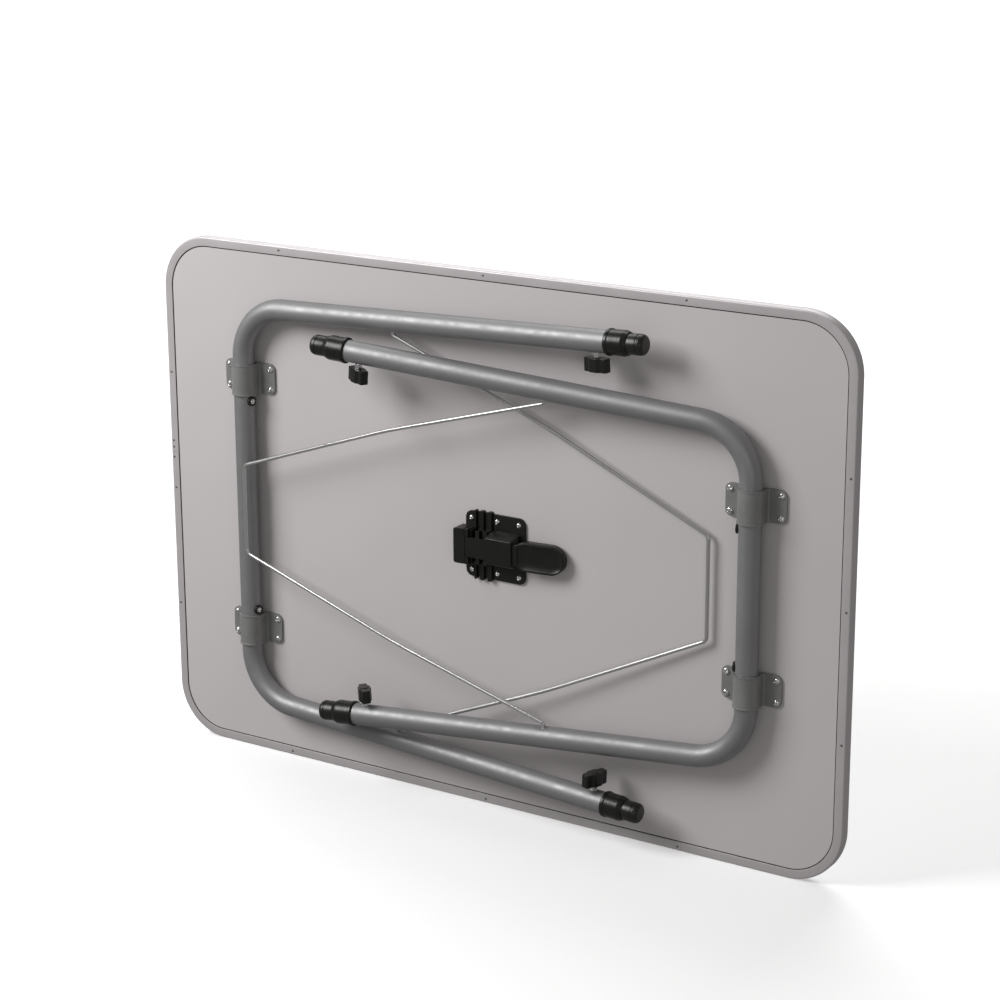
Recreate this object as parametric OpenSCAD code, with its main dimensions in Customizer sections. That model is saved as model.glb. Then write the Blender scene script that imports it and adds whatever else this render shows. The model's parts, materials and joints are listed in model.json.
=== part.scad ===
// Folding camping table: a flat panel with two tube leg frames, folded flat
// and standing on its long edge.
//
// The table stands along X. Its underside faces -Y and its top faces +Y.
// Most pieces are drawn in the table's own board frame: X along the table,
// Y across it and Z out of the underside. board() stands that frame up.

/* [Table top] */
// Length of the table top
top_len = 1010; // [940:10:1220]
// Width of the table top
top_wid = 700; // [660:10:840]
// Thickness of the panel between the faces of its two skins
panel_t = 14; // [12:0.5:18]
// Thickness of each skin
skin_t = 1; // [0.5:0.1:1.5]
// Wall of the edge channel
channel_wall = 1; // [0.8:0.1:1.5]
// Width of the channel's flange on each face
flange_w = 12; // [9:0.5:16]
// Outer radius of the panel's corners
corner_r = 72; // [50:1:90]

/* [Leg frames] */
// Diameter of the leg tubes
tube_od = 28; // [26:0.5:30]
// Wall of the leg tubes
tube_wall = 1.2; // [0.8:0.1:1.5]
// Radius of the bends, on the tube's centre line
bend_r = 70; // [60:1:80]
// From the table's left end to the wide frame's hinge line
wide_inset = 141; // [130:1:150]
// From the table's right end to the narrow frame's hinge line
narrow_inset = 124.5; // [115:0.5:135]
// Half distance between the wide frame's legs, at the hinge line
wide_half = 268; // [240:1:280]
// Half distance between the narrow frame's legs, at the hinge line
narrow_half = 205.4; // [190:0.2:215]
// How far each wide leg runs outward, as a slope
wide_splay = 0.043; // [0.02:0.001:0.06]
// How far each narrow leg runs outward, as a slope
narrow_splay = 0.066; // [0.04:0.001:0.08]
// Length of the wide legs, from the hinge line to the collar
wide_leg = 565; // [470:1:600]
// Length of the narrow legs, from the hinge line to the collar
narrow_leg = 546; // [455:1:580]
// Angle by which the folded wide frame stands off the table
wide_open = 2.2; // [1.5:0.1:3]
// Angle by which the folded narrow frame stands off the table
narrow_open = 4.4; // [3.8:0.1:6]

/* [Telescopic feet] */
// Wall of the inner leg tubes
inner_wall = 1.2; // [0.8:0.1:1.5]
// Length of an inner leg tube
inner_len = 250; // [200:5:260]
// Length of the end collar
collar_len = 30; // [26:1:40]
// Wall of the end collar around the leg tube
collar_wall = 1.9; // [1.5:0.1:2.9]
// Length of the tube held in the collar
collar_grip = 20; // [15:1:24]
// Length of the foot beyond the collar
foot_len = 21; // [18:1:30]
// How far the foot's head stands out over the inner tube, on the radius
foot_lip = 0.6; // [0.4:0.1:2]
// From the collar back to the wide frame's clamp knobs
wide_knob_back = 17.5; // [12:0.5:24]
// From the collar back to the narrow frame's clamp knobs
narrow_knob_back = 16; // [12:0.5:24]
// Distance from the knob's axis to the tip of a wing
knob_r = 17; // [14:0.5:18]
// Thickness of the knob
knob_t = 17; // [10:0.5:18]

/* [Saddles] */
// Distance from the middle of the table to each wide saddle
wide_saddle_y = 172; // [150:1:180]
// Distance from the middle of the table to each narrow saddle
narrow_saddle_y = 114; // [106:1:116]
// Width of a saddle along the tube
saddle_w = 41; // [34:1:44]
// Length of a saddle across the tube
saddle_l = 80; // [72:1:90]
// Thickness of a saddle's ears
ear_t = 3; // [2:0.5:4]
// Wall of the saddle over the tube
arch_wall = 2.2; // [1.5:0.1:4]
// Floor of the saddle under the tube
saddle_floor = 1.9; // [1.4:0.1:3.4]
// From a saddle's screws to its ends, across the tube
screw_end = 6.3; // [5:0.1:8]
// From a saddle's screws to its sides, along the tube
screw_side = 6.8; // [5:0.1:8]
// Radius of a panel screw's shank
screw_r = 2; // [1.5:0.1:2.5]
// Radius of a panel screw's head
head_r = 4.2; // [3.5:0.1:5]
// Height of a panel screw's head
head_h = 2.4; // [1.5:0.1:3]

/* [Wire braces] */
// Diameter of the brace wire
wire_d = 5; // [4:0.5:5]
// From the hinge line to the wide brace's pivot
wide_pivot = 246; // [235:1:255]
// From the hinge line to the narrow brace's pivot
narrow_pivot = 271; // [262:1:280]
// Half length of the wide brace's crosspiece
wide_cross = 66; // [60:1:72]
// Half length of the narrow brace's crosspiece
narrow_cross = 60; // [54:1:64]
// Height of the folded wide crosspiece over the underside
wide_rest_h = 7.4; // [5:0.1:10]
// Gap between the folded narrow crosspiece and the wide crossbar under it
narrow_rest_gap = 2; // [1.5:0.1:5]
// How far each brace arm bows outward
arm_bow = 7; // [3:0.5:9]
// Bend radius at the brace's corners
wire_bend = 9; // [7:0.5:12]

/* [Latch] */
// Left end of the latch plate, from the middle of the table
latch_x0 = -26; // [-32:1:-22]
// Right end of the latch plate, from the middle of the table
latch_x1 = 62; // [58:1:70]
// Width of the latch plate
latch_w = 86; // [80:1:96]
// Thickness of the latch plate
latch_t = 3; // [2:0.5:3]
// Place of the wide brace's groove, from the middle of the table
wide_groove_x = -6.3; // [-8:0.1:-6]
// Place of the narrow brace's groove, from the middle of the table
narrow_groove_x = 5; // [4.8:0.1:6]
// Height of the wide brace's wire when it is seated
wide_groove_h = 6; // [5.6:0.1:6.5]
// Height of the narrow brace's wire when it is seated
narrow_groove_h = 14; // [13.5:0.1:14.5]
// Thickness of the latch bolt
bolt_t = 3; // [2:0.5:3.5]
// Width of the latch bolt
bolt_w = 26; // [20:1:28]
// Width of the bolt's thumb tongue
tongue_w = 38; // [32:1:42]
// Far end of the bolt's tongue, from the middle of the table
tongue_x = 124; // [112:1:130]

/* [Clearances] */
// Running clearance of a tube in its saddles, on the radius
saddle_gap = 0.1; // [0.05:0.01:0.1]
// Running clearance of an inner tube in its leg, on the radius
inner_gap = 0.4; // [0.3:0.05:0.6]
// Running clearance of a wire in its pivot hole, on the radius
pivot_gap = 0.05; // [0.02:0.01:0.1]
// Clearance between fixed pieces
fit_gap = 0.1; // [0.05:0.05:0.2]
// Clearance between pieces that slide
slide_gap = 0.3; // [0.2:0.05:0.4]

/* [Hidden] */
$fn = 48;
bend_fn = 180;

tube_r = tube_od / 2;
bore_r = tube_r - tube_wall;
inner_r = bore_r - inner_gap;
collar_r = tube_r + fit_gap + collar_wall;
foot_r = inner_r + foot_lip;
foot_gap = 0.4;
stem_len = 18;
wire_r = wire_d / 2;
axis_h = tube_r + saddle_gap + saddle_floor;
wide_x = -top_len / 2 + wide_inset;
narrow_x = top_len / 2 - narrow_inset;
skin_plane = panel_t / 2;
cut = 1;
bend_swell = 0.03;
bend_lap = 0.2;

// The rivets sit in the middle of the flange, at these places along each edge.
rivet_r = 1.5;
rivet_head_r = 2.6;
rivet_head_h = 0.8;
rivet_len = 9;
long_rivets = [-0.31, 0, 0.28] * top_len;
short_rivets = [-0.235, 0, 0.23] * top_wid;
rivet_in = flange_w / 2;
rivet_points = concat(
    [for (x = long_rivets, s = [-1, 1]) [x, s * (top_wid / 2 - rivet_in)]],
    [for (y = short_rivets, s = [-1, 1]) [s * (top_len / 2 - rivet_in), y]]
);

// The channel's butt joint at the left end, with a tongue inside it.
joint_y = 50;
joint_gap = 0.5;
joiner_len = 60;
joiner_w = 10;

// Screws that hold the saddles and the latch.
screw_len = 11;
screw_dx = saddle_l - 2 * screw_end;
screw_dy = saddle_w - 2 * screw_side;
saddle_r = 8;
saddle_centres = [
    [wide_x, wide_saddle_y], [wide_x, -wide_saddle_y],
    [narrow_x, narrow_saddle_y], [narrow_x, -narrow_saddle_y]
];
saddle_screw_points = [
    for (c = saddle_centres, sx = [-1, 1], sy = [-1, 1])
        [c[0] + sx * screw_dx / 2, c[1] + sy * screw_dy / 2]
];
latch_screw_in = 9;
latch_mid_screw_x = 21;
latch_screw_points = concat(
    [for (s = [-1, 1]) [latch_x0 + latch_screw_in, s * (latch_w / 2 - latch_screw_in)]],
    [for (s = [-1, 1]) [latch_mid_screw_x, s * (latch_w / 2 - latch_screw_in)]],
    [for (s = [-1, 1]) [latch_x1 - latch_screw_in, s * (latch_w / 2 - latch_screw_in)]]
);

// The latch: a block with two wire grooves that run on between low ribs, a lug,
// a cover and a sliding bolt.
latch_corner = 9;
groove_w = wire_d + 0.5;
block_x0 = -12;
block_x1 = 14;
block_half = 22;
rib_half = 45.5;
rib_h = 6;
block_h = narrow_groove_h + wire_r + 0.1;
lug_x0 = latch_x0 - 8;
lug_half = 23;
cheek_h = 2;
bolt_z = block_h + slide_gap;
bolt_x0 = block_x0 - 5;
cover_x1 = 53;
cover_half = 20;
cover_wall = 2;
cover_h = bolt_z + bolt_t + slide_gap + cover_wall;
tongue_x0 = cover_x1 + 9;
tongue_end_h = 4;

// Stops on the crossbars beside the saddles, a little above the table's plane.
stop_angle = 10;
stop_gap = 1.3;
washer_r = 6.5;
stop_y = saddle_w / 2 + stop_gap + washer_r;
washer_h = 2.6;
washer_hole = 2.6;
stop_shank = 2;
stop_head_r = 4.2;
stop_head_h = 2.4;

// Knobs: a nut on the tube, a screw through it and a winged head. Each knob is
// left at its own turn: wide upper, wide lower, narrow upper, narrow lower.
knob_turns = [8, 75, 30, -50];
nut_r = 4.6;
nut_h = 6;
knob_screw_r = 3;
knob_start = tube_r + nut_h + slide_gap;
knob_hub_r = 8;
wing_r = 6;

// Wire braces: arms inboard of the leg tubes, with a long bow and tight pivots.
arm_inboard = 4;
bow_bend = 900;
pin_bend = 3.2;
narrow_rest_h = axis_h + tube_r + wire_r + narrow_rest_gap;

// Turn of a brace between the folded table and the open frame.
wide_arm = brace_len(wide_x, 1, wide_pivot, wide_groove_x, wide_groove_h);
narrow_arm = brace_len(narrow_x, -1, narrow_pivot, narrow_groove_x, narrow_groove_h);
wide_arm_angle = rest_angle(wide_pivot, wide_open, wide_rest_h, wide_arm);
narrow_arm_angle = rest_angle(narrow_pivot, narrow_open, narrow_rest_h, narrow_arm);

// Length from a brace's pivot to its crosspiece, so that with the frame square
// to the table the crosspiece lies in its groove.
function brace_len(x, side, pivot, groove_x, groove_h) =
    norm([side * (groove_x - x), groove_h - axis_h - pivot]);
// Angle of a folded brace to the table, from the height of its crosspiece.
function rest_angle(pivot, open, rest_h, len) =
    asin((rest_h - axis_h - pivot * sin(open)) / len);
// Place on a leg's centre line, in the flat plane of its frame.
function leg_point(half, splay, r) = [r, half + splay * r];
function heading(a, b) = atan2(b[1] - a[1], b[0] - a[0]);
function ahead(h) = [cos(h), sin(h)];
// Turn at a corner, between -180 and 180 degrees.
function corner_turn(p, i) =
    (heading(p[i], p[i + 1]) - heading(p[i - 1], p[i]) + 540) % 360 - 180;
// Length that a corner's bend takes from the straight run on each side.
function setback(p, radii, i) =
    (i <= 0 || i >= len(p) - 1) ? 0 : radii[i] * tan(abs(corner_turn(p, i)) / 2);

// Stands the board frame up: its Z comes out of the underside, along -Y.
module board() {
    translate([0, -skin_plane, top_wid / 2]) rotate([90, 0, 0]) children();
}

// Rounded rectangle, centred, out of true arcs.
module rounded(l, w, r) {
    square([l - 2 * r, w], center = true);
    square([l, w - 2 * r], center = true);
    for (sx = [-1, 1], sy = [-1, 1])
        translate([sx * (l / 2 - r), sy * (w / 2 - r)]) circle(r);
}

// Cylinders at a list of places.
module pins(points, r, h, z = 0) {
    for (p = points) translate([p[0], p[1], z]) cylinder(r = r, h = h);
}

// Round bar through points in the XY plane, bent at each corner. The bends are
// a hair thicker than the runs, which reach a little way into them. The two
// free ends are drawn longer by reach. Each run is turned about itself so that
// its seam meets the seam of its bend, on the outside of the curve.
module bent_bar(p, radii, r, reach = 0) {
    last = len(p) - 1;
    for (i = [0 : last - 1]) {
        h = heading(p[i], p[i + 1]);
        before = i == 0 ? reach : bend_lap - setback(p, radii, i);
        after = i == last - 1 ? reach : bend_lap - setback(p, radii, i + 1);
        start = p[i] - before * ahead(h);
        seam = corner_turn(p, max(i, 1)) > 0 ? -90 : 90;
        translate([start[0], start[1], 0]) rotate([0, 0, h]) rotate([0, 90, 0])
            rotate([0, 0, seam]) cylinder(r = r, h = norm(p[i + 1] - p[i]) + before + after);
    }
    for (i = [1 : last - 1]) {
        side = corner_turn(p, i) > 0 ? 1 : -1;
        h = heading(p[i - 1], p[i]);
        centre = p[i] - setback(p, radii, i) * ahead(h) + radii[i] * ahead(h + 90 * side);
        from = side > 0 ? h - 90 : heading(p[i], p[i + 1]) + 90;
        translate([centre[0], centre[1], 0]) rotate([0, 0, from])
            rotate_extrude(angle = abs(corner_turn(p, i)), $fn = bend_fn)
                translate([radii[i], 0]) circle(r + bend_swell, $fn = 48);
    }
}

// ---- Panel ----

module panel_holes() {
    pins(saddle_screw_points, screw_r + fit_gap, screw_len, ear_t - screw_len);
    pins(latch_screw_points, screw_r + fit_gap, screw_len, latch_t - screw_len);
    pins(rivet_points, rivet_r + fit_gap, rivet_len + cut, -rivet_len);
}

module sheet(inset, z0, z1) {
    translate([0, 0, z0]) linear_extrude(z1 - z0)
        rounded(top_len - 2 * inset, top_wid - 2 * inset, corner_r - inset);
}

module joiner_shape(gap) {
    translate([-top_len / 2 + channel_wall + fit_gap - gap,
               joint_y - joiner_len / 2 - gap, -panel_t + skin_t + fit_gap - gap])
        cube([joiner_w + 2 * gap, joiner_len + 2 * gap,
              panel_t - 2 * skin_t - 2 * fit_gap + 2 * gap]);
}

module top_core() {
    color("tan") board() difference() {
        sheet(channel_wall + slide_gap, -panel_t + skin_t, -skin_t);
        panel_holes();
        joiner_shape(fit_gap);
    }
}

module top_skin() {
    color("gainsboro") board() sheet(channel_wall + slide_gap, -panel_t, -panel_t + skin_t);
}

module under_skin() {
    color("lightgray") board() difference() {
        sheet(channel_wall + slide_gap, -skin_t, 0);
        panel_holes();
    }
}

module edge_channel() {
    color("silver") board() difference() {
        sheet(0, -panel_t - channel_wall, channel_wall);
        sheet(channel_wall, -panel_t, 0);
        sheet(flange_w, -panel_t - 2 * channel_wall, 2 * channel_wall);
        panel_holes();
        translate([-top_len / 2 - cut, joint_y - joint_gap / 2, -panel_t - 2 * channel_wall])
            cube([flange_w + 2 * cut, joint_gap, panel_t + 4 * channel_wall]);
    }
}

module edge_joiner() {
    color("silver") board() joiner_shape(0);
}

module rim_rivets() {
    color("gray") board() {
        pins(rivet_points, rivet_r, rivet_len + channel_wall, -rivet_len);
        pins(rivet_points, rivet_head_r, rivet_head_h, channel_wall);
    }
}

// ---- Saddles ----

// Outline of the arch over the tube, flat where it meets the table.
module arch_outline(r) {
    translate([-r, 0]) square([2 * r, axis_h]);
    difference() {
        translate([0, axis_h]) circle(r);
        translate([-2 * r, -2 * r]) square([4 * r, 2 * r + axis_h]);
    }
}

module saddle(centre) {
    board() translate([centre[0], centre[1], 0]) difference() {
        union() {
            linear_extrude(ear_t) rounded(saddle_l, saddle_w, saddle_r);
            rotate([90, 0, 0]) translate([0, 0, -saddle_w / 2]) linear_extrude(saddle_w)
                arch_outline(tube_r + arch_wall);
        }
        translate([0, 0, axis_h]) rotate([90, 0, 0])
            cylinder(r = tube_r + saddle_gap, h = saddle_w + 2 * cut, center = true);
        for (sx = [-1, 1], sy = [-1, 1])
            translate([sx * screw_dx / 2, sy * screw_dy / 2, -cut])
                cylinder(r = screw_r + fit_gap, h = ear_t + 2 * cut);
    }
}

module wide_saddle_upper() { color("dimgray") saddle(saddle_centres[0]); }
module wide_saddle_lower() { color("dimgray") saddle(saddle_centres[1]); }
module narrow_saddle_upper() { color("dimgray") saddle(saddle_centres[2]); }
module narrow_saddle_lower() { color("dimgray") saddle(saddle_centres[3]); }

module panel_screws(points) {
    pins(points, screw_r, screw_len, ear_t - screw_len);
    pins(points, head_r, head_h, ear_t);
}

module saddle_screws() {
    color("silver") board() panel_screws(saddle_screw_points);
}

// ---- Latch ----

module groove(x, h) {
    translate([x - groove_w / 2, -rib_half - cut, h - wire_r - slide_gap])
        cube([groove_w, 2 * (rib_half + cut), block_h]);
}

module latch_base() {
    color("dimgray") board() difference() {
        union() {
            translate([(latch_x0 + latch_x1) / 2, 0, 0]) linear_extrude(latch_t)
                rounded(latch_x1 - latch_x0, latch_w, latch_corner);
            translate([block_x0, -block_half, 0])
                cube([block_x1 - block_x0, 2 * block_half, block_h]);
            translate([block_x0, -rib_half, 0])
                cube([block_x1 - block_x0, 2 * rib_half, rib_h]);
            translate([lug_x0, -lug_half, 0])
                cube([block_x0 - lug_x0, 2 * lug_half, block_h + cheek_h]);
        }
        groove(wide_groove_x, wide_groove_h);
        groove(narrow_groove_x, narrow_groove_h);
        for (s = [-1, 1])
            translate([narrow_groove_x, s * (block_half + rib_half + cut) / 2, latch_t + rib_h / 2])
                cube([groove_w, rib_half + cut - block_half, rib_h], center = true);
        translate([bolt_x0 - slide_gap, -bolt_w / 2 - slide_gap, block_h])
            cube([block_x0 - bolt_x0 + 2 * slide_gap, bolt_w + 2 * slide_gap, cheek_h + cut]);
        translate([0, 0, -cut]) pins(latch_screw_points, screw_r + fit_gap, latch_t + 2 * cut);
    }
}

module latch_cover() {
    color("dimgray") board() difference() {
        translate([block_x1, -cover_half, latch_t])
            cube([cover_x1 - block_x1, 2 * cover_half, cover_h - latch_t]);
        translate([block_x1 + cover_wall, -cover_half + cover_wall, latch_t - cut])
            cube([cover_x1 - block_x1 - 2 * cover_wall, 2 * (cover_half - cover_wall),
                  cover_h - latch_t - cover_wall + cut]);
        translate([block_x1 - cut, -bolt_w / 2 - slide_gap, bolt_z - slide_gap])
            cube([cover_x1 - block_x1 + 2 * cut, bolt_w + 2 * slide_gap,
                  bolt_t + 2 * slide_gap]);
    }
}

module latch_bolt() {
    color("dimgray") board() {
        translate([bolt_x0, -bolt_w / 2, bolt_z])
            cube([tongue_x0 - bolt_x0, bolt_w, bolt_t]);
        translate([0, 0, tongue_end_h]) linear_extrude(bolt_z + bolt_t - tongue_end_h) {
            translate([tongue_x - tongue_w / 2, 0]) circle(tongue_w / 2);
            translate([tongue_x0, -tongue_w / 2])
                square([tongue_x - tongue_w / 2 - tongue_x0, tongue_w]);
        }
    }
}

module latch_screws() {
    color("silver") board() {
        pins(latch_screw_points, screw_r, screw_len, latch_t - screw_len);
        pins(latch_screw_points, head_r, head_h, latch_t);
    }
}

// ---- Leg frames ----

// Each frame is drawn flat, with its crossbar on Y and its legs toward +X.
module wide_frame() {
    board() translate([wide_x, 0, axis_h]) rotate([0, -wide_open, 0]) children();
}

module narrow_frame() {
    board() translate([narrow_x, 0, axis_h]) rotate([0, narrow_open, 0])
        rotate([0, 0, 180]) children();
}

// Puts a child at a place along one leg, with its X along the leg.
module on_leg(half, splay, r, side) {
    p = leg_point(half, splay, r);
    translate([p[0], side * p[1], 0]) rotate([0, 0, side * atan(splay)]) children();
}

module leg_tube(half, splay, leg, pivot, knob_back, saddle_y) {
    end = leg_point(half, splay, leg + collar_grip);
    knob_at = leg - knob_back;
    path = [[end[0], -end[1]], [0, -half], [0, half], end];
    radii = [0, bend_r, bend_r, 0];
    difference() {
        bent_bar(path, radii, tube_r);
        bent_bar(path, radii, bore_r, cut);
        for (s = [-1, 1]) {
            translate([pivot, s * leg_point(half, splay, pivot)[1], 0]) rotate([s * 90, 0, 0])
                cylinder(r = wire_r + pivot_gap, h = tube_r + cut);
            on_leg(half, splay, knob_at, s) rotate([s * 90, 0, 0])
                cylinder(r = knob_screw_r + slide_gap, h = tube_r + cut);
        }
        stops(saddle_y) rotate([0, 90, 0]) cylinder(r = stop_shank + fit_gap, h = tube_r + cut);
    }
}

// Places on the crossbar beside each saddle, with X pointing out of the tube.
module stops(saddle_y) {
    for (s = [-1, 1])
        translate([0, s * (saddle_y - stop_y), 0]) rotate([0, -stop_angle, 0]) children();
}

module stop_washer() {
    rotate([0, 90, 0]) difference() {
        translate([0, 0, tube_r - cut]) cylinder(r = washer_r, h = washer_h + cut);
        cylinder(r = washer_hole, h = 2 * tube_r);
        rotate([90, 0, 0]) cylinder(r = tube_r + fit_gap / 2, h = 4 * washer_r, center = true);
    }
}

module stop_screw() {
    rotate([0, 90, 0]) {
        translate([0, 0, bore_r - 2]) cylinder(r = stop_shank, h = tube_wall + washer_h + 2);
        translate([0, 0, tube_r + washer_h]) cylinder(r = stop_head_r, h = stop_head_h);
    }
}

module collars(half, splay, leg) {
    for (s = [-1, 1]) on_leg(half, splay, leg, s) rotate([0, 90, 0]) rotate_extrude()
        polygon([
            [tube_r + fit_gap, 0], [collar_r - 1, 0], [collar_r, 1],
            [collar_r, collar_len - 4], [collar_r - 2, collar_len],
            [inner_r + slide_gap, collar_len], [inner_r + slide_gap, collar_grip + fit_gap],
            [tube_r + fit_gap, collar_grip + fit_gap]
        ]);
}

module clamp_nuts(half, splay, knob_at) {
    for (s = [-1, 1]) on_leg(half, splay, knob_at, s) difference() {
        rotate([s * 90, 0, 0]) difference() {
            cylinder(r = nut_r, h = tube_r + nut_h);
            cylinder(r = knob_screw_r + slide_gap, h = tube_r + nut_h + cut);
        }
        rotate([0, 90, 0]) cylinder(r = tube_r + fit_gap / 2, h = 4 * nut_r, center = true);
    }
}

module wide_tube() {
    color("silver") wide_frame()
        leg_tube(wide_half, wide_splay, wide_leg, wide_pivot, wide_knob_back, wide_saddle_y);
}
module wide_stop_screws() { color("silver") wide_frame() stops(wide_saddle_y) stop_screw(); }
module wide_stop_washers() { color("black") wide_frame() stops(wide_saddle_y) stop_washer(); }
module wide_collars() { color("black") wide_frame() collars(wide_half, wide_splay, wide_leg); }
module wide_clamp_nuts() {
    color("silver") wide_frame()
        clamp_nuts(wide_half, wide_splay, wide_leg - wide_knob_back);
}

module narrow_tube() {
    color("silver") narrow_frame()
        leg_tube(narrow_half, narrow_splay, narrow_leg, narrow_pivot, narrow_knob_back,
            narrow_saddle_y);
}
module narrow_stop_screws() { color("silver") narrow_frame() stops(narrow_saddle_y) stop_screw(); }
module narrow_stop_washers() { color("black") narrow_frame() stops(narrow_saddle_y) stop_washer(); }
module narrow_collars() {
    color("black") narrow_frame() collars(narrow_half, narrow_splay, narrow_leg);
}
module narrow_clamp_nuts() {
    color("silver") narrow_frame()
        clamp_nuts(narrow_half, narrow_splay, narrow_leg - narrow_knob_back);
}

// ---- Telescopic feet ----

// The tube's end meets the foot's head at the collar's mouth.
module inner_tube() {
    rotate([0, 90, 0]) translate([0, 0, collar_len + foot_gap - inner_len]) difference() {
        cylinder(r = inner_r, h = inner_len);
        translate([0, 0, -cut]) cylinder(r = inner_r - inner_wall, h = inner_len + 2 * cut);
    }
}

module foot() {
    stem_r = inner_r - inner_wall - fit_gap;
    rotate([0, 90, 0]) translate([0, 0, collar_len + foot_gap]) rotate_extrude()
        polygon([
            [0, -stem_len], [stem_r, -stem_len], [stem_r, 0], [foot_r, 0],
            [foot_r, foot_len - 4], [foot_r - 1.2, foot_len - 1.2],
            [foot_r - 4, foot_len], [0, foot_len]
        ]);
}

// The upper legs of both frames lie at +Y in board(); the narrow frame is
// turned round, so its upper leg is at -Y in its own flat plane.
module wide_leg_at(s) { wide_frame() on_leg(wide_half, wide_splay, wide_leg, s) children(); }
module narrow_leg_at(s) {
    narrow_frame() on_leg(narrow_half, narrow_splay, narrow_leg, -s) children();
}

module wide_inner_upper() { color("silver") wide_leg_at(1) inner_tube(); }
module wide_inner_lower() { color("silver") wide_leg_at(-1) inner_tube(); }
module narrow_inner_upper() { color("silver") narrow_leg_at(1) inner_tube(); }
module narrow_inner_lower() { color("silver") narrow_leg_at(-1) inner_tube(); }
module wide_foot_upper() { color("black") wide_leg_at(1) foot(); }
module wide_foot_lower() { color("black") wide_leg_at(-1) foot(); }
module narrow_foot_upper() { color("black") narrow_leg_at(1) foot(); }
module narrow_foot_lower() { color("black") narrow_leg_at(-1) foot(); }

// ---- Clamp knobs ----

module knob_head(turn) {
    wing_at = knob_r - wing_r;
    translate([0, 0, knob_start]) rotate([0, 0, turn]) difference() {
        linear_extrude(knob_t) {
            circle(knob_hub_r);
            square([2 * wing_at, 2 * wing_r], center = true);
            for (s = [-1, 1]) translate([s * wing_at, 0]) circle(wing_r);
        }
        translate([0, 0, -cut]) cylinder(r = knob_screw_r + fit_gap, h = knob_t - 2 + cut);
    }
}

module knob_screw() {
    translate([0, 0, inner_r + slide_gap])
        cylinder(r = knob_screw_r, h = knob_start + knob_t - 3 - inner_r - slide_gap);
}

module wide_knob_at(s) {
    wide_frame() on_leg(wide_half, wide_splay, wide_leg - wide_knob_back, s)
        rotate([s * 90, 0, 0]) children();
}
module narrow_knob_at(s) {
    narrow_frame() on_leg(narrow_half, narrow_splay, narrow_leg - narrow_knob_back, -s)
        rotate([-s * 90, 0, 0]) children();
}

module wide_knob_upper() { color("black") wide_knob_at(1) knob_head(knob_turns[0]); }
module wide_knob_lower() { color("black") wide_knob_at(-1) knob_head(knob_turns[1]); }
module narrow_knob_upper() { color("black") narrow_knob_at(1) knob_head(knob_turns[2]); }
module narrow_knob_lower() { color("black") narrow_knob_at(-1) knob_head(knob_turns[3]); }
module wide_knob_screw_upper() { color("silver") wide_knob_at(1) knob_screw(); }
module wide_knob_screw_lower() { color("silver") wide_knob_at(-1) knob_screw(); }
module narrow_knob_screw_upper() { color("silver") narrow_knob_at(1) knob_screw(); }
module narrow_knob_screw_lower() { color("silver") narrow_knob_at(-1) knob_screw(); }

// ---- Wire braces ----

// Wire from one leg's pivot hole, along an arm, across the crosspiece and back.
module brace(half, splay, pivot, arm, cross) {
    leg_y = leg_point(half, splay, pivot)[1];
    pin_y = leg_y - bore_r + 3;
    arm_y = leg_y - tube_r - arm_inboard;
    mid = [arm / 2, (arm_y + cross) / 2 + arm_bow];
    side = [[0, pin_y], [0, arm_y], mid, [arm, cross]];
    points = concat(
        [for (q = side) [q[0], q[1]]],
        [for (i = [len(side) - 1 : -1 : 0]) [side[i][0], -side[i][1]]]
    );
    bent_bar(points, [0, pin_bend, bow_bend, wire_bend, wire_bend, bow_bend, pin_bend, 0],
        wire_r);
}

module wide_brace() {
    color("silver") wide_frame() translate([wide_pivot, 0, 0])
        rotate([0, wide_open - wide_arm_angle, 0])
            brace(wide_half, wide_splay, wide_pivot, wide_arm, wide_cross);
}

module narrow_brace() {
    color("silver") narrow_frame() translate([narrow_pivot, 0, 0])
        rotate([0, narrow_open - narrow_arm_angle, 0])
            brace(narrow_half, narrow_splay, narrow_pivot, narrow_arm, narrow_cross);
}

top_core();
top_skin();
under_skin();
edge_channel();
edge_joiner();
rim_rivets();
wide_saddle_upper();
wide_saddle_lower();
narrow_saddle_upper();
narrow_saddle_lower();
saddle_screws();
latch_base();
latch_cover();
latch_bolt();
latch_screws();
wide_tube();
wide_stop_screws();
wide_stop_washers();
wide_collars();
wide_clamp_nuts();
narrow_tube();
narrow_stop_screws();
narrow_stop_washers();
narrow_collars();
narrow_clamp_nuts();
wide_inner_upper();
wide_inner_lower();
narrow_inner_upper();
narrow_inner_lower();
wide_foot_upper();
wide_foot_lower();
narrow_foot_upper();
narrow_foot_lower();
wide_knob_upper();
wide_knob_lower();
narrow_knob_upper();
narrow_knob_lower();
wide_knob_screw_upper();
wide_knob_screw_lower();
narrow_knob_screw_upper();
narrow_knob_screw_lower();
wide_brace();
narrow_brace();
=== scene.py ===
"""Looks of a folded camping table, built round its CAD frame.

The table stands on its long edge with both leg frames folded against the
underside. Every length is in metres, in the same frame as the CAD model.
"""

import json
import math

import bmesh
import bpy
from bpy.props import FloatProperty, FloatVectorProperty, IntProperty, PointerProperty
from mathutils import Matrix, Vector


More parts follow.
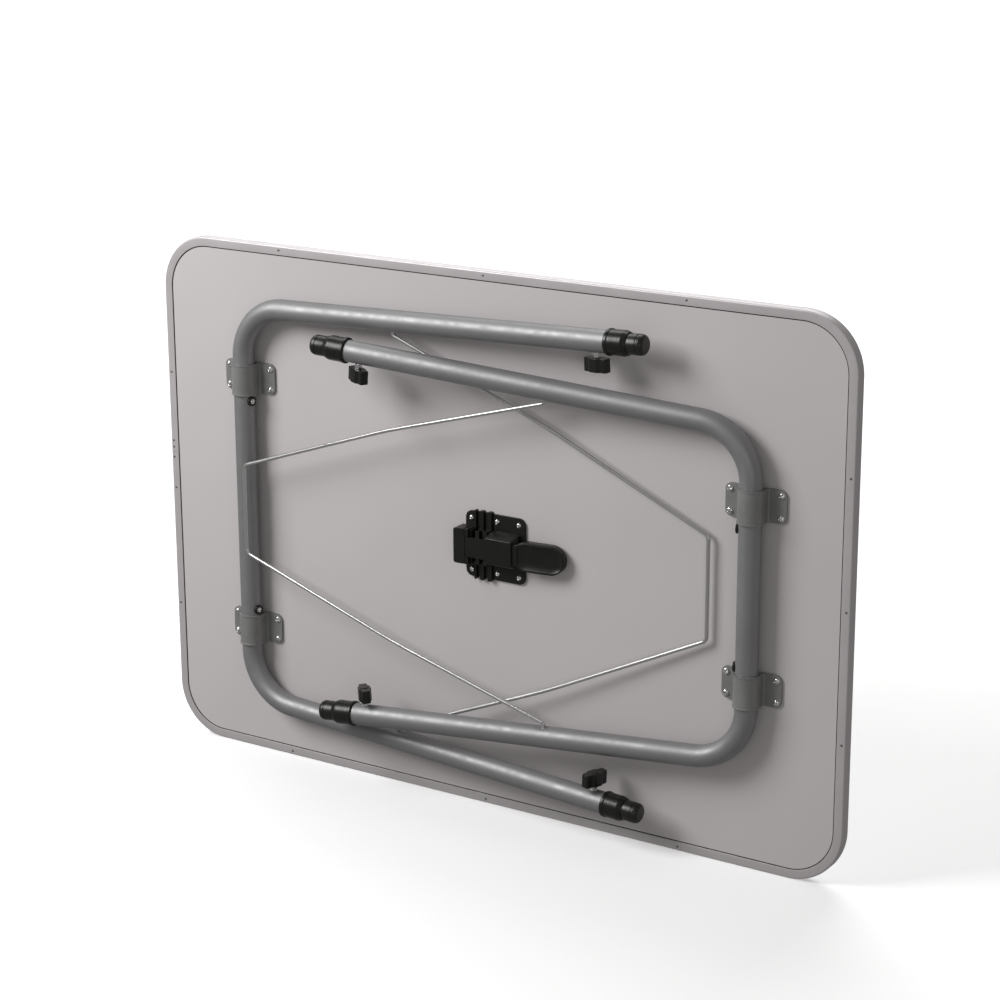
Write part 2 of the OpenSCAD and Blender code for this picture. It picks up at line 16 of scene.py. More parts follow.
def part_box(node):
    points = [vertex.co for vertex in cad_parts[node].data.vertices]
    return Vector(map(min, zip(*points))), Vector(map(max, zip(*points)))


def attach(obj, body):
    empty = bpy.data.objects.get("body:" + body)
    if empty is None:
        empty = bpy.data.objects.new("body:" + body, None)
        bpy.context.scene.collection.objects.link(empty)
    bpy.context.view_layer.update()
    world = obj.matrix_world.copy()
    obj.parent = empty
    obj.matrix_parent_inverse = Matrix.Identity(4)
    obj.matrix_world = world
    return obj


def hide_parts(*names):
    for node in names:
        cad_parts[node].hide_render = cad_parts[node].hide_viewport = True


bl_info = {
    "name": "Folding camping table",
    "version": (1, 0, 0),
    "blender": (4, 5, 0),
    "location": "3D View > Sidebar > Table",
    "description": "Builds the finished look of a folding camping table",
    "category": "Object",
}

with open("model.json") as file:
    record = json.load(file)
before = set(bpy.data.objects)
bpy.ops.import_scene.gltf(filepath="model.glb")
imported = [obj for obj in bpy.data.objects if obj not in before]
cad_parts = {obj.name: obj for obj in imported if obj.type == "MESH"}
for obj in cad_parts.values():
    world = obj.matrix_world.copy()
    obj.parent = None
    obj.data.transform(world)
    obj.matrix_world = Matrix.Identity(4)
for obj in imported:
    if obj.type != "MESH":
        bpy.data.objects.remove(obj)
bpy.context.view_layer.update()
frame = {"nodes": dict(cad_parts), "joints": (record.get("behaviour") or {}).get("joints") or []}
JOINTS = {joint["name"]: joint for joint in frame["joints"]}
NODES = frame["nodes"]
MM = 0.001


# ---- Places taken from the frame ----

def joint_pos(name):
    return Vector(JOINTS[name]["pos_m"])


def joint_axis(name):
    return Vector(JOINTS[name]["axis"]).normalized()


SKIN_PLANE = -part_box("under_skin")[0].y
MID_HEIGHT = joint_pos("wide_frame_fold").z
# Board frame: X along the table, Y across it and Z out of the underside.
BOARD = Matrix(((1, 0, 0, 0), (0, 0, -1, -SKIN_PLANE), (0, 1, 0, MID_HEIGHT), (0, 0, 0, 1)))
TO_BOARD = BOARD.inverted()


class LegFrame:
    """One U-shaped leg frame: its flat plane has the crossbar on Y and the legs towards +X."""

    def __init__(self, kind, facing):
        self.kind = kind
        self.facing = facing
        self.hinge = TO_BOARD @ joint_pos(kind + "_frame_fold")
        slide = TO_BOARD.to_3x3() @ joint_axis(kind + "_leg_slide_upper")
        self.open = math.atan2(slide.z, abs(slide.x))
        self.splay = slide.y / math.hypot(slide.x, slide.z)
        self.to_row = BOARD @ Matrix.Translation(self.hinge)
        self.to_row @= Matrix.Rotation(-facing * self.open, 4, "Y")
        if facing < 0:
            self.to_row @= Matrix.Rotation(math.pi, 4, "Z")
        knob = self.to_row.inverted() @ joint_pos(kind + "_knob_turn_upper")
        self.knob_at = knob.x
        self.half = abs(knob.y) - self.splay * knob.x
        brace = self.to_row.inverted() @ joint_pos(kind + "_brace_fold")
        self.pivot = brace.x

    def side(self, upper):
        """+1 or -1: where the upper or the lower leg lies in the flat plane."""
        return (1 if upper else -1) * self.facing

    def half_at(self, along):
        return self.half + self.splay * along

    def leg(self, upper, along=0.0):
        """Matrix with its X along one leg and its Y across the frame."""
        side = self.side(upper)
        place = Matrix.Translation((along, side * self.half_at(along), 0))
        return self.to_row @ place @ Matrix.Rotation(side * math.atan(self.splay), 4, "Z")


WIDE = LegFrame("wide", 1)
NARROW = LegFrame("narrow", -1)
FRAMES = (WIDE, NARROW)
# How far each clamp screw stands behind the start of its collar.
KNOB_BACK = {"wide": 17.5 * MM, "narrow": 16.0 * MM}


# ---- Sizes and colours ----

def length(name, description, default):
    return FloatProperty(name=name, description=description, default=default, unit="LENGTH")


def colour(name, description, default):
    return FloatVectorProperty(name=name, description=description, default=default,
                               subtype="COLOR")


class TableSizes(bpy.types.PropertyGroup):
    """Sizes of the pieces that are drawn here."""

    tube_radius: length("Tube radius", "Outer radius of the leg tubes", 14 * MM)
    bend_radius: length("Bend radius", "Radius of the leg tubes' bends", 70 * MM)
    inner_radius: length("Inner tube radius", "Outer radius of the telescopic tubes", 12.4 * MM)
    wire_radius: length("Wire radius", "Radius of the brace wire", 2.5 * MM)
    arm_bow: length("Arm bow", "How far a brace arm bows outward", 7 * MM)
    dent_depth: length("Dent depth", "Depth of the flat pressed round a pivot hole", 2.2 * MM)
    head_radius: length("Screw head radius", "Radius of the screws' round heads", 4.3 * MM)
    tube_sides: IntProperty(
        name="Tube sides", description="Faces round a leg tube", default=48, min=12)


class TableColours(bpy.types.PropertyGroup):
    """Colours of the finishes."""

    laminate: colour("Laminate", "Underside sheet", (0.635, 0.597, 0.600))
    aluminium: colour("Edge channel", "Satin aluminium channel", (0.60, 0.565, 0.572))
    tube: colour("Leg tubes", "Silver finish of the tubes", (0.31, 0.31, 0.315))
    saddle: colour("Saddles", "Grey finish of the saddles", (0.27, 0.27, 0.265))
    plastic: colour("Black plastic", "Moulded black pieces", (0.010, 0.010, 0.008))
    screw: colour("Screws", "Bright plated steel", (0.80, 0.80, 0.79))


def sizes():
    return bpy.context.scene.table_sizes


def colours():
    return bpy.context.scene.table_colours


# ---- Materials ----

def node(tree, kind, inputs=None, **settings):
    made = tree.nodes.new(kind)
    for key, value in settings.items():
        setattr(made, key, value)
    for key, value in (inputs or {}).items():
        made.inputs[key].default_value = value
    return made


def wire_up(tree, *rows):
    """Links nodes; each row is a node, its output, the next node and its input."""
    for source, output, target, entry in rows:
        tree.links.new(source.outputs[output], target.inputs[entry])


def noise(tree, coords, scale, stretch=(1, 1, 1), detail=3.0, rough=0.5):
    """Noise on Object coordinates, stretched along chosen axes. Scale is per metre."""
    mapping = node(tree, "ShaderNodeMapping", {"Scale": stretch})
    texture = node(tree, "ShaderNodeTexNoise",
                   {"Scale": scale, "Detail": detail, "Roughness": rough})
    wire_up(tree, (coords, "Object", mapping, "Vector"), (mapping, "Vector", texture, "Vector"))
    return texture.outputs["Fac"]


def map_range(tree, value, low, high, start=0.3, end=0.7):
    made = node(tree, "ShaderNodeMapRange",
                {"From Min": start, "From Max": end, "To Min": low, "To Max": high})
    tree.links.new(value, made.inputs["Value"])
    return made.outputs["Result"]


def shade(colour, factor):
    return tuple(min(1.0, c * factor) for c in colour) + (1.0,)


def finish(name, colour, roughness, metallic=0.0, tone=0.05, tone_scale=9.0,
           grain=900.0, grain_depth=0.02 * MM, gloss_vary=0.06, stretch=(1, 1, 1),
           coat=0.0, specular=0.5, scratch=0.0):
    """A finish with a slow drift of tone, a fine grain and an uneven gloss."""
    found = bpy.data.materials.get(name)
    if found:
        return found
    material = bpy.data.materials.new(name)
    material.use_nodes = True
    tree = material.node_tree
    link = tree.links.new
    tree.nodes.clear()
    out = node(tree, "ShaderNodeOutputMaterial")
    shader = node(tree, "ShaderNodeBsdfPrincipled",
                  {"Metallic": metallic, "Coat Weight": coat, "Specular IOR Level": specular})
    link(shader.outputs["BSDF"], out.inputs["Surface"])
    coords = node(tree, "ShaderNodeTexCoord")

    drift = noise(tree, coords, tone_scale, detail=2.0)
    fine = noise(tree, coords, grain, stretch, detail=4.0, rough=0.6)
    mix = node(tree, "ShaderNodeMix", data_type="RGBA")
    mix.inputs["A"].default_value = shade(colour, 1 - tone)
    mix.inputs["B"].default_value = shade(colour, 1 + tone)
    link(map_range(tree, drift, 0, 1), mix.inputs["Factor"])
    speck = node(tree, "ShaderNodeMix", {"Factor": 0.5}, data_type="RGBA",
                 blend_type="MULTIPLY")
    link(mix.outputs["Result"], speck.inputs["A"])
    grey = node(tree, "ShaderNodeCombineColor")
    light = map_range(tree, fine, 1 - 1.6 * tone, 1)
    for channel in ("Red", "Green", "Blue"):
        link(light, grey.inputs[channel])
    link(grey.outputs["Color"], speck.inputs["B"])
    link(speck.outputs["Result"], shader.inputs["Base Color"])

    patchy = noise(tree, coords, tone_scale * 6, stretch, detail=5.0)
    link(map_range(tree, patchy, roughness - gloss_vary, roughness + gloss_vary),
                   shader.inputs["Roughness"])
    height = fine
    if scratch:
        lines = noise(tree, coords, 260.0, (1.0, 14.0, 14.0), detail=2.0)
        worn = node(tree, "ShaderNodeMath", operation="MULTIPLY_ADD")
        worn.inputs[1].default_value = scratch
        link(lines, worn.inputs[0])
        link(fine, worn.inputs[2])
        height = worn.outputs["Value"]
    bump = node(tree, "ShaderNodeBump", {"Strength": 0.6, "Distance": grain_depth})
    link(height, bump.inputs["Height"])
    link(bump.outputs["Normal"], shader.inputs["Normal"])
    return material


def laminate_finish():
    return finish("matte_laminate", colours().laminate, 0.62, tone=0.025, tone_scale=4.0,
                  grain=1400.0, grain_depth=0.03 * MM, gloss_vary=0.08, specular=0.35)


def top_finish():
    return finish("satin_top_laminate", colours().laminate, 0.42, tone=0.03, tone_scale=6.0,
                  grain=1800.0, grain_depth=0.02 * MM)


def channel_finish():
    return finish("satin_channel", colours().aluminium, 0.42, metallic=0.3, tone=0.03,
                  grain=700.0, grain_depth=0.012 * MM, scratch=0.4)


def tube_finish():
    return finish("silver_tube", colours().tube, 0.52, metallic=0.6, tone=0.04,
                  tone_scale=14.0, grain=1100.0, grain_depth=0.012 * MM, scratch=0.5)


def inner_tube_finish():
    return finish("bright_inner_tube", shade(colours().tube, 1.2)[:3], 0.26, metallic=1.0,
                  tone=0.03, grain=900.0, stretch=(0.1, 1, 1), grain_depth=0.01 * MM)


def saddle_finish():
    return finish("grey_saddle", colours().saddle, 0.48, metallic=0.25, tone=0.08,
                  tone_scale=40.0, grain=2200.0, grain_depth=0.04 * MM)


def plastic_finish():
    return finish("black_moulding", colours().plastic, 0.30, tone=0.10, tone_scale=60.0,
                  grain=1600.0, grain_depth=0.03 * MM, gloss_vary=0.07, specular=0.4)


def latch_finish():
    return finish("black_latch", colours().plastic, 0.36, tone=0.12, tone_scale=50.0,
                  grain=2600.0, grain_depth=0.04 * MM, specular=0.35)


def foot_finish():
    return finish("black_foot", colours().plastic, 0.34, tone=0.12, tone_scale=80.0,
                  grain=1200.0, grain_depth=0.03 * MM)


def screw_finish():
    return finish("bright_screw", colours().screw, 0.20, metallic=1.0, tone=0.04,
                  tone_scale=300.0, grain=3000.0, grain_depth=0.008 * MM)


def wire_finish():
    return finish("plated_wire", (0.62, 0.62, 0.61), 0.30, metallic=0.9, tone=0.05,
                  tone_scale=3.0, grain=1500.0, grain_depth=0.01 * MM, gloss_vary=0.04)


def rivet_finish():
    return finish("dull_rivet", (0.25, 0.24, 0.24), 0.4, metallic=0.8, tone=0.1,
                  tone_scale=300.0)


def board_finish():
    """Pressed wood board, as it shows where the channel ends."""
    return finish("pressed_board", (0.36, 0.25, 0.15), 0.8, tone=0.2, tone_scale=120.0,
                  grain=1500.0, grain_depth=0.15 * MM)


# ---- Mesh helpers ----

def rounded_path(points, radii, arc_step=math.radians(6), run_step=None, closed=False):
    """Points of a line whose corners are rounded off to their radii."""
    count = len(points)
    points = [Vector(p) for p in points]
    out = []
    for i, point in enumerate(points):
        if radii[i] <= 0 or (not closed and i in (0, count - 1)):
            out.append(point)
            continue
        back = (points[i - 1] - point).normalized()
        ahead = (points[(i + 1) % count] - point).normalized()
        turn = math.pi - back.angle(ahead)
        if turn < 1e-5:
            out.append(point)
            continue
        radius = radii[i]
        start = point + back * radius * math.tan(turn / 2)
        centre = point + (back + ahead).normalized() * radius / math.cos(turn / 2)
        spoke = (start - centre) / radius
        steps = max(2, math.ceil(turn / arc_step))
        for k in range(steps + 1):
            angle = turn * k / steps
            out.append(centre + radius * (spoke * math.cos(angle) - back * math.sin(angle)))
    if not run_step:
        return out
    fine = []
    for a, b in zip(out, out[1:] + (out[:1] if closed else [])):
        steps = max(1, math.ceil((b - a).length / run_step))
        fine += [a.lerp(b, k / steps) for k in range(steps)]
    return fine if closed else fine + [out[-1]]


def join_rings(bm, rings, closed=False):
    """Faces between rings of vertices; a ring of one vertex is a pole."""
    pairs = list(zip(rings, rings[1:]))
    if closed:
        pairs.append((rings[-1], rings[0]))
    for a, b in pairs:
        count = max(len(a), len(b))
        for k in range(count):
            corners = [a[k % len(a)], a[(k + 1) % len(a)], b[(k + 1) % len(b)], b[k % len(b)]]
            unique = list(dict.fromkeys(corners))
            if len(unique) > 2:
                bm.faces.new(unique)


def lathe(bm, profile, place, sides=48, closed=False):
    """Turns (along, radius) points about X and puts them at place."""
    rings = []
    for along, radius in profile:
        if radius < 1e-7:
            rings.append([bm.verts.new(place @ Vector((along, 0, 0)))])
            continue
        angles = [2 * math.pi * k / sides for k in range(sides)]
        rings.append([
            bm.verts.new(place @ Vector((along, radius * math.cos(a), radius * math.sin(a))))
            for a in angles])
    join_rings(bm, rings, closed)


def slab(bm, outline, low, high, place=BOARD):
    """A closed outline in XY, drawn from one height to another."""
    bottom = [bm.verts.new(place @ Vector((p[0], p[1], low))) for p in outline]
    top = [bm.verts.new(place @ Vector((p[0], p[1], high))) for p in outline]
    join_rings(bm, [bottom, top])
    bm.faces.new(top)
    bm.faces.new(bottom[::-1])


def disc(radius, sides, x=0.0, y=0.0):
    """Outline of a circle round a point."""
    angles = (2 * math.pi * k / sides for k in range(sides))
    return [(x + radius * math.cos(a), y + radius * math.sin(a)) for a in angles]


def ribbon(bm, route, section, closed=False):
    """Sweeps a section of (outward, height) points along a flat route on the board."""
    count = len(route)
    rings = []
    for i, point in enumerate(route):
        ahead = route[(i + 1) % count if closed else min(i + 1, count - 1)]
        behind = route[i - 1 if closed else max(i - 1, 0)]
        along = ahead - behind
        outward = Vector((-along.y, along.x)).normalized()
        rings.append([
            bm.verts.new(BOARD @ Vector((*(point + outward * reach), height)))
            for reach, height in section])
    join_rings(bm, rings, closed)
    return rings


def block(x0, x1, half, radius):
    """Outline of a rectangle with rounded corners, half wide each side of Y = 0."""
    corners = [(x0, -half), (x1, -half), (x1, half), (x0, half)]
    return rounded_path(corners, [radius] * 4, math.radians(15), closed=True)


def new_object(name, mesh):
    made = bpy.data.objects.new(name, mesh)
    bpy.context.scene.collection.objects.link(made)
    return made


def piece(name, bm, material, body, replaced=(), sharp=35.0, bevel=0.0):
    """Turns a bmesh into a finished piece that rides on a body."""
    bmesh.ops.remove_doubles(bm, verts=bm.verts, dist=1e-7)
    bmesh.ops.recalc_face_normals(bm, faces=bm.faces)
    mesh = bpy.data.meshes.new(name)
    bm.to_mesh(mesh)
    bm.free()
    mesh.shade_smooth()
    mesh.set_sharp_from_angle(angle=math.radians(sharp))
    mesh.materials.append(material)
    made = new_object(name, mesh)
    if bevel:
        modifier = made.modifiers.new("edges", "BEVEL")
        modifier.width = bevel
        modifier.segments = 3
        modifier.limit_method = "ANGLE"
        modifier.angle_limit = math.radians(50)
        modifier.harden_normals = True
    return dress(made, body, replaced)


def dress(made, body, replaced=()):
    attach(made, body)
    if replaced:
        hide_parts(*replaced)
    return made


# ---- Geometry Nodes ----

def new_tree(name, inputs):
    """An empty geometry tree with named inputs, and the identifiers of its sockets."""
    tree = bpy.data.node_groups.new(name, "GeometryNodeTree")
    tree.interface.new_socket("Geometry", in_out="INPUT", socket_type="NodeSocketGeometry")
    identifiers = {}
    for label, kind in inputs:
        socket = tree.interface.new_socket(label, in_out="INPUT", socket_type=kind)
        identifiers[label] = socket.identifier
    tree.interface.new_socket("Geometry", in_out="OUTPUT", socket_type="NodeSocketGeometry")
    return tree, identifiers


def bar_tree():
    """A round bar along the edges of a mesh."""
    tree, identifiers = new_tree("round_bar", [
        ("Radius", "NodeSocketFloat"), ("Sides", "NodeSocketInt"),
        ("Material", "NodeSocketMaterial")])
    start = node(tree, "NodeGroupInput")
    end = node(tree, "NodeGroupOutput")
    line = node(tree, "GeometryNodeMeshToCurve")
    ring = node(tree, "GeometryNodeCurvePrimitiveCircle")
    sweep = node(tree, "GeometryNodeCurveToMesh", {"Fill Caps": True})
    smooth = node(tree, "GeometryNodeSetShadeSmooth")
    real = node(tree, "GeometryNodeRealizeInstances")
    paint = node(tree, "GeometryNodeSetMaterial")
    wire_up(
        tree,
        (start, "Geometry", line, "Mesh"), (start, "Sides", ring, "Resolution"),
        (start, "Radius", ring, "Radius"), (line, "Curve", sweep, "Curve"),
        (ring, "Curve", sweep, "Profile Curve"), (sweep, "Mesh", smooth, "Geometry"),
        (smooth, "Geometry", real, "Geometry"), (real, "Geometry", paint, "Geometry"),
        (start, "Material", paint, "Material"), (paint, "Geometry", end, "Geometry"))
    return tree, identifiers


def stud_tree():
    """A copy of one head at every point, each turned by its own chance angle."""
    tree, identifiers = new_tree("stud_set", [
        ("Head", "NodeSocketObject"), ("Tilt", "NodeSocketRotation"),
        ("Seed", "NodeSocketInt"), ("Material", "NodeSocketMaterial")])
    start = node(tree, "NodeGroupInput")
    end = node(tree, "NodeGroupOutput")
    points = node(tree, "GeometryNodeMeshToPoints")
    info = node(tree, "GeometryNodeObjectInfo")
    spread = node(tree, "GeometryNodeInstanceOnPoints")
    chance = node(tree, "FunctionNodeRandomValue", data_type="FLOAT")
    chance.inputs[2].default_value = 0.0
    chance.inputs[3].default_value = math.pi
    spin = node(tree, "ShaderNodeCombineXYZ")
    turn = node(tree, "GeometryNodeRotateInstances")
    turn.inputs["Local Space"].default_value = True
    real = node(tree, "GeometryNodeRealizeInstances")
    paint = node(tree, "GeometryNodeSetMaterial")
    wire_up(
        tree,
        (start, "Geometry", points, "Mesh"), (points, "Points", spread, "Points"),
        (start, "Head", info, "Object"), (info, "Geometry", spread, "Instance"),
        (start, "Tilt", spread, "Rotation"), (start, "Seed", chance, "Seed"),
        (chance, 1, spin, "Z"), (spread, "Instances", turn, "Instances"),
        (spin, "Vector", turn, "Rotation"), (turn, "Instances", real, "Geometry"),
        (real, "Geometry", paint, "Geometry"), (start, "Material", paint, "Material"),
        (paint, "Geometry", end, "Geometry"))
    return tree, identifiers


TREES = {}


def grown(name, verts, edges, maker, values):
    """Runs a geometry tree on points or lines and returns the plain mesh object."""
    if maker.__name__ not in TREES:
        TREES[maker.__name__] = maker()
    tree, identifiers = TREES[maker.__name__]
    seed_mesh = bpy.data.meshes.new(name + "_line")
    seed_mesh.from_pydata([tuple(v) for v in verts], edges, [])
    made = new_object(name, seed_mesh)
    modifier = made.modifiers.new("shape", "NODES")
    modifier.node_group = tree
    for label, value in values.items():
        modifier[identifiers[label]] = value
    bpy.context.view_layer.update()
    graph = bpy.context.evaluated_depsgraph_get()
    mesh = bpy.data.meshes.new_from_object(made.evaluated_get(graph), depsgraph=graph)
    made.modifiers.clear()
    made.data = mesh
    mesh.name = name
    bpy.data.meshes.remove(seed_mesh)
    return made


def bar(name, path, radius, sides, material):
    edges = [(i, i + 1) for i in range(len(path) - 1)]
    return grown(name, path, edges, bar_tree,
                 {"Radius": radius, "Sides": sides, "Material": material})


def round_head(radius, height, recess):
    """A domed head on Z = 0, with a cross recess of the given depth."""
    bm = bmesh.new()
    sides = 48
    rings = []
    for step in range(13):
        share = 1 - step / 12
        r = radius * share
        z = height * math.sqrt(max(0.0, 1 - share ** 2.4))
        ring = []
        for k in range(sides if step < 12 else 1):
            angle = 2 * math.pi * k / sides
            x, y = r * math.cos(angle), r * math.sin(angle)
            arm = min(abs(x), abs(y)) < 0.17 * radius and r < 0.62 * radius
            ring.append(bm.verts.new((x, y, z - (recess if arm else 0.0))))
        rings.append(ring)
    base = [bm.verts.new((v.co.x, v.co.y, 0.0)) for v in rings[0]]
    join_rings(bm, [base] + rings)
    bm.faces.new(base[::-1])
    bmesh.ops.recalc_face_normals(bm, faces=bm.faces)
    mesh = bpy.data.meshes.new("head")
    bm.to_mesh(mesh)
    bm.free()
    mesh.shade_smooth()
    mesh.set_sharp_from_angle(angle=math.radians(38))
    return new_object("head", mesh)


def studs(name, points, direction, head, seed, material, body, replaced=()):
    """Heads at points of the row frame, all facing one direction."""
    tilt = Vector((0, 0, 1)).rotation_difference(Vector(direction)).to_euler()
    made = grown(name, points, [], stud_tree,
                 {"Head": head, "Tilt": tilt, "Seed": seed, "Material": material})
    return dress(made, body, replaced)


# ---- Operators ----

class TABLE_OT_panel(bpy.types.Operator):
    """Finishes the board and its skins, and makes the edge channel"""

    bl_idname = "camping_table.panel"
    bl_label = "Panel and edge channel"

    wall = 1.0 * MM
    flange = 12.0 * MM
    corner = 72.0 * MM
    joint_y = 50.0 * MM
    joint_gap = 0.5 * MM
    # Section of the black bead at the flange's inner edge, a painted shadow line for the gap under
    # the lip.
    shadow_line_section = ((0, 0), (0, 0.5 * MM), (-0.7 * MM, 0.35 * MM), (-1.3 * MM, 0))

    def paint(self, name, material):
        mesh = NODES[name].data
        mesh.materials.clear()
        mesh.materials.append(material)

    def execute(self, context):
        self.paint("under_skin", laminate_finish())
        self.paint("top_skin", top_finish())
        self.paint("top_core", board_finish())
        self.paint("edge_joiner", channel_finish())
        low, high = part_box("edge_channel")
        half_l, half_w = high.x, (high.z - low.z) / 2
        back = -(high.y + SKIN_PLANE)
        w, f = self.wall, -self.flange
        section = rounded_path(
            [(f, w), (0, w), (0, back), (f, back), (f, back + w), (-w, back + w),
             (-w, 0), (f, 0)],
            [0.45 * MM, 2.2 * MM, 2.2 * MM, 0.45 * MM, 0.2 * MM, 1.0 * MM, 1.0 * MM, 0.2 * MM],
            math.radians(12), closed=True)
        gap = self.joint_gap / 2
        route = rounded_path(
            [(-half_l, self.joint_y + gap), (-half_l, half_w), (half_l, half_w),
             (half_l, -half_w), (-half_l, -half_w), (-half_l, self.joint_y - gap)],
            [0, self.corner, self.corner, self.corner, self.corner, 0],
            math.radians(2), run_step=40 * MM)
        bm = bmesh.new()
        rings = ribbon(bm, route, section)
        bm.faces.new(rings[0])
        bm.faces.new(rings[-1][::-1])
        piece("rim_channel", bm, channel_finish(), "tabletop", ["edge_channel"])
        self.seam(half_l + f, half_w + f)
        return {"FINISHED"}

    def seam(self, half_l, half_w):
        """A thin black bead along the inner edge of the flange: painted shade standing in for the
        shadow in the gap at the flange's lip.
        """
        corner = self.corner - self.flange
        route = rounded_path([(-half_l, half_w), (half_l, half_w), (half_l, -half_w),
                              (-half_l, -half_w)], [corner] * 4, math.radians(3), closed=True)
        bm = bmesh.new()
        ribbon(bm, route, self.shadow_line_section, closed=True)
        # Painted shade: the black bead stands in for the shadow along the flange's inner edge.
        piece("rim_seam", bm, foot_finish(), "tabletop")


class TABLE_OT_saddles(bpy.types.Operator):
    """Makes the four saddles that hold the crossbars"""

    bl_idname = "camping_table.saddles"
    bl_label = "Saddles"

    wall = 2.0 * MM
    ear = 3.0 * MM
    fillet = 2.5 * MM
    ear_round = 8.0 * MM
    bead = 0.55 * MM
    bead_w = 1.5 * MM

    def pairs(self, half, axis_h, tube_r):
        """Outer and inner points of the strap's section, from the left ear to the top."""
        outer_r, inner_r = tube_r + self.wall, tube_r + 0.1 * MM
        out = []
        for k in range(9):
            x = -half + self.ear_round * (1 - math.cos(math.pi / 2 * k / 8))
            out.append(((x, self.ear), (x, 0.0)))
        turn_x = -outer_r - self.fillet
        out.append(((turn_x, self.ear), (turn_x, 0.0)))
        for k in range(1, 7):
            a = math.pi / 2 * k / 6
            point = (turn_x + self.fillet * math.sin(a),
                     self.ear + self.fillet * (1 - math.cos(a)))
            under = (max(turn_x, point[0] + self.wall) if k < 4 else -inner_r,
                     0.0 if k < 4 else self.ear * (k - 3) / 2)
            out.append((point, under))
        for k in range(19):
            a = math.pi - math.pi / 2 * k / 18
            out.append(((outer_r * math.cos(a), axis_h + outer_r * math.sin(a)),
                        (inner_r * math.cos(a), axis_h + inner_r * math.sin(a))))
        return out

    def execute(self, context):
        for leg_frame in FRAMES:
            axis_h = leg_frame.hinge.z
            for side in ("upper", "lower"):
                name = f"{leg_frame.kind}_saddle_{side}"
                low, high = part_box(name)
                centre = TO_BOARD @ ((low + high) / 2)
                half, half_w = (high.x - low.x) / 2, (high.z - low.z) / 2
                left = self.pairs(half, axis_h, sizes().tube_radius)
                strip = left + [((-o[0], o[1]), (-i[0], i[1])) for o, i in reversed(left[:-1])]
                self.build(name, strip, centre, half, half_w)
        return {"FINISHED"}

    def build(self, name, strip, centre, half, half_w):
        bm = bmesh.new()
        columns = (-1, -1, 0, 0, 1, 1)
        insets = (0, self.bead_w, self.bead_w + 0.4 * MM, self.bead_w + 0.4 * MM,
                  self.bead_w, 0)
        signs = (-1, -1, -1, 1, 1, 1)
        rings = []
        for outer, inner in strip:
            into_ear = max(0.0, abs(outer[0]) - (half - self.ear_round))
            drop = self.ear_round - math.sqrt(max(0.0, self.ear_round ** 2 - into_ear ** 2))
            width = half_w - drop
            lift = self.bead * min(1.0, max(0.0, (outer[1] - self.ear) / (6 * MM)))
            direction = Vector((outer[0] - inner[0], outer[1] - inner[1])).normalized()
            ring = []
            for sign, inset, column in zip(signs, insets, columns):
                raised = lift if column else 0.0
                x = outer[0] + direction.x * raised
                z = outer[1] + direction.y * raised
                y = sign * max(0.0, width - inset)
                ring.append(bm.verts.new(BOARD @ Vector((centre.x + x, centre.y + y, z))))
            for sign in (1, -1):
                y = sign * width
                ring.append(bm.verts.new(
                    BOARD @ Vector((centre.x + inner[0], centre.y + y, inner[1]))))
            rings.append(ring)
        join_rings(bm, rings)
        bm.faces.new(rings[0])
        bm.faces.new(rings[-1][::-1])
        piece("strap_" + name, bm, saddle_finish(), "tabletop", [name],
              sharp=30)


class TABLE_OT_leg_tubes(bpy.types.Operator):
    """Sweeps the two bent leg tubes and presses a flat round each pivot hole"""

    bl_idname = "camping_table.leg_tubes"
    bl_label = "Leg tubes"

    collar_grip = 18.0 * MM
    dent_reach = 20.0 * MM

    def execute(self, context):
        for leg_frame in FRAMES:
            end = leg_frame.knob_at + KNOB_BACK[leg_frame.kind] + self.collar_grip
            wide_end = leg_frame.half_at(end)
            corners = [(end, -wide_end, 0), (0, -leg_frame.half, 0),
                       (0, leg_frame.half, 0), (end, wide_end, 0)]
            bend = sizes().bend_radius
            path = rounded_path(corners, [0, bend, bend, 0], math.radians(2.5),
                                run_step=4 * MM)
            made = bar(leg_frame.kind + "_leg_tube", [leg_frame.to_row @ p for p in path],
                       sizes().tube_radius, sizes().tube_sides, tube_finish())
            self.press_flats(made.data, leg_frame)
            dress(made, leg_frame.kind + "_frame", [leg_frame.kind + "_tube"])
        return {"FINISHED"}

    def press_flats(self, mesh, leg_frame):
        """Moves the inboard wall towards the tube's middle around each pivot hole."""
        for upper in (True, False):
            place = leg_frame.leg(upper, leg_frame.pivot)
            to_leg = place.inverted()
            side = leg_frame.side(upper)
            for vertex in mesh.vertices:
                local = to_leg @ vertex.co
                near = math.hypot(local.y, local.z) < 1.2 * sizes().tube_radius
                if not near or abs(local.x) > self.dent_reach or local.y * side > 0:
                    continue
                share = math.cos(math.pi / 2 * local.x / self.dent_reach) ** 2
                limit = sizes().tube_radius - sizes().dent_depth * share
                if abs(local.y) > limit:
                    local.y = -side * limit
                    vertex.co = place @ local


